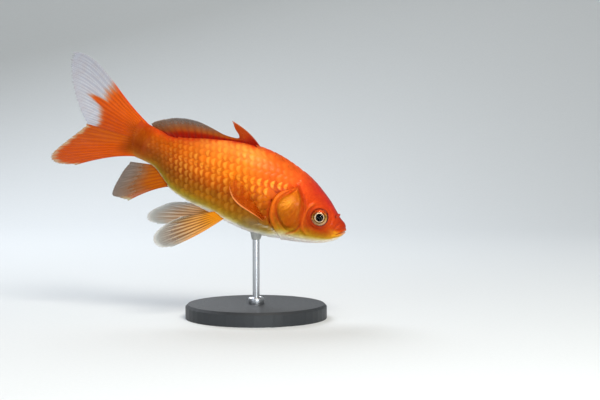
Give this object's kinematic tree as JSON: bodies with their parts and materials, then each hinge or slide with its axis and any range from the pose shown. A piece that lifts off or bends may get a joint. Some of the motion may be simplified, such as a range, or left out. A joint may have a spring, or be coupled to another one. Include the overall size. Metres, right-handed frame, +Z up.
{
  "type": "goldfish",
  "caption": "Life-size still model of a common goldfish swimming nose down, with a long forked tail and a folded back fin, held by a rod on a round display stand.",
  "frame": {"origin": "centre of the underside of the stand's round base", "axes": "+Z up from the base, +X towards the side that the fish's head points to, +Y towards the fish's left side"},
  "size_m": [0.1279, 0.06, 0.1128],
  "materials": {
    "skin": "satin",
    "gill_cover": "gloss",
    "fin": "satin",
    "fin_pale": "satin",
    "eye": "gloss",
    "stand_base": "satin",
    "stand_rod": "satin"
  },
  "bodies": {
    "root": {"head": "skin", "lower_jaw": "skin", "gill_cover_left": "gill_cover", "gill_cover_right": "gill_cover", "trunk": "skin", "tail_stalk": "skin", "dorsal_fin": "fin", "tail_fin_upper": "fin", "tail_fin_lower": "fin", "anal_fin": "fin", "pelvic_fin_left": "fin_pale", "pelvic_fin_right": "fin_pale", "pectoral_fin_left": "fin", "pectoral_fin_right": "fin", "eye_left": "eye", "eye_right": "eye", "stand_base": "stand_base", "stand_rod": "stand_rod"}
  },
  "joints": []
}
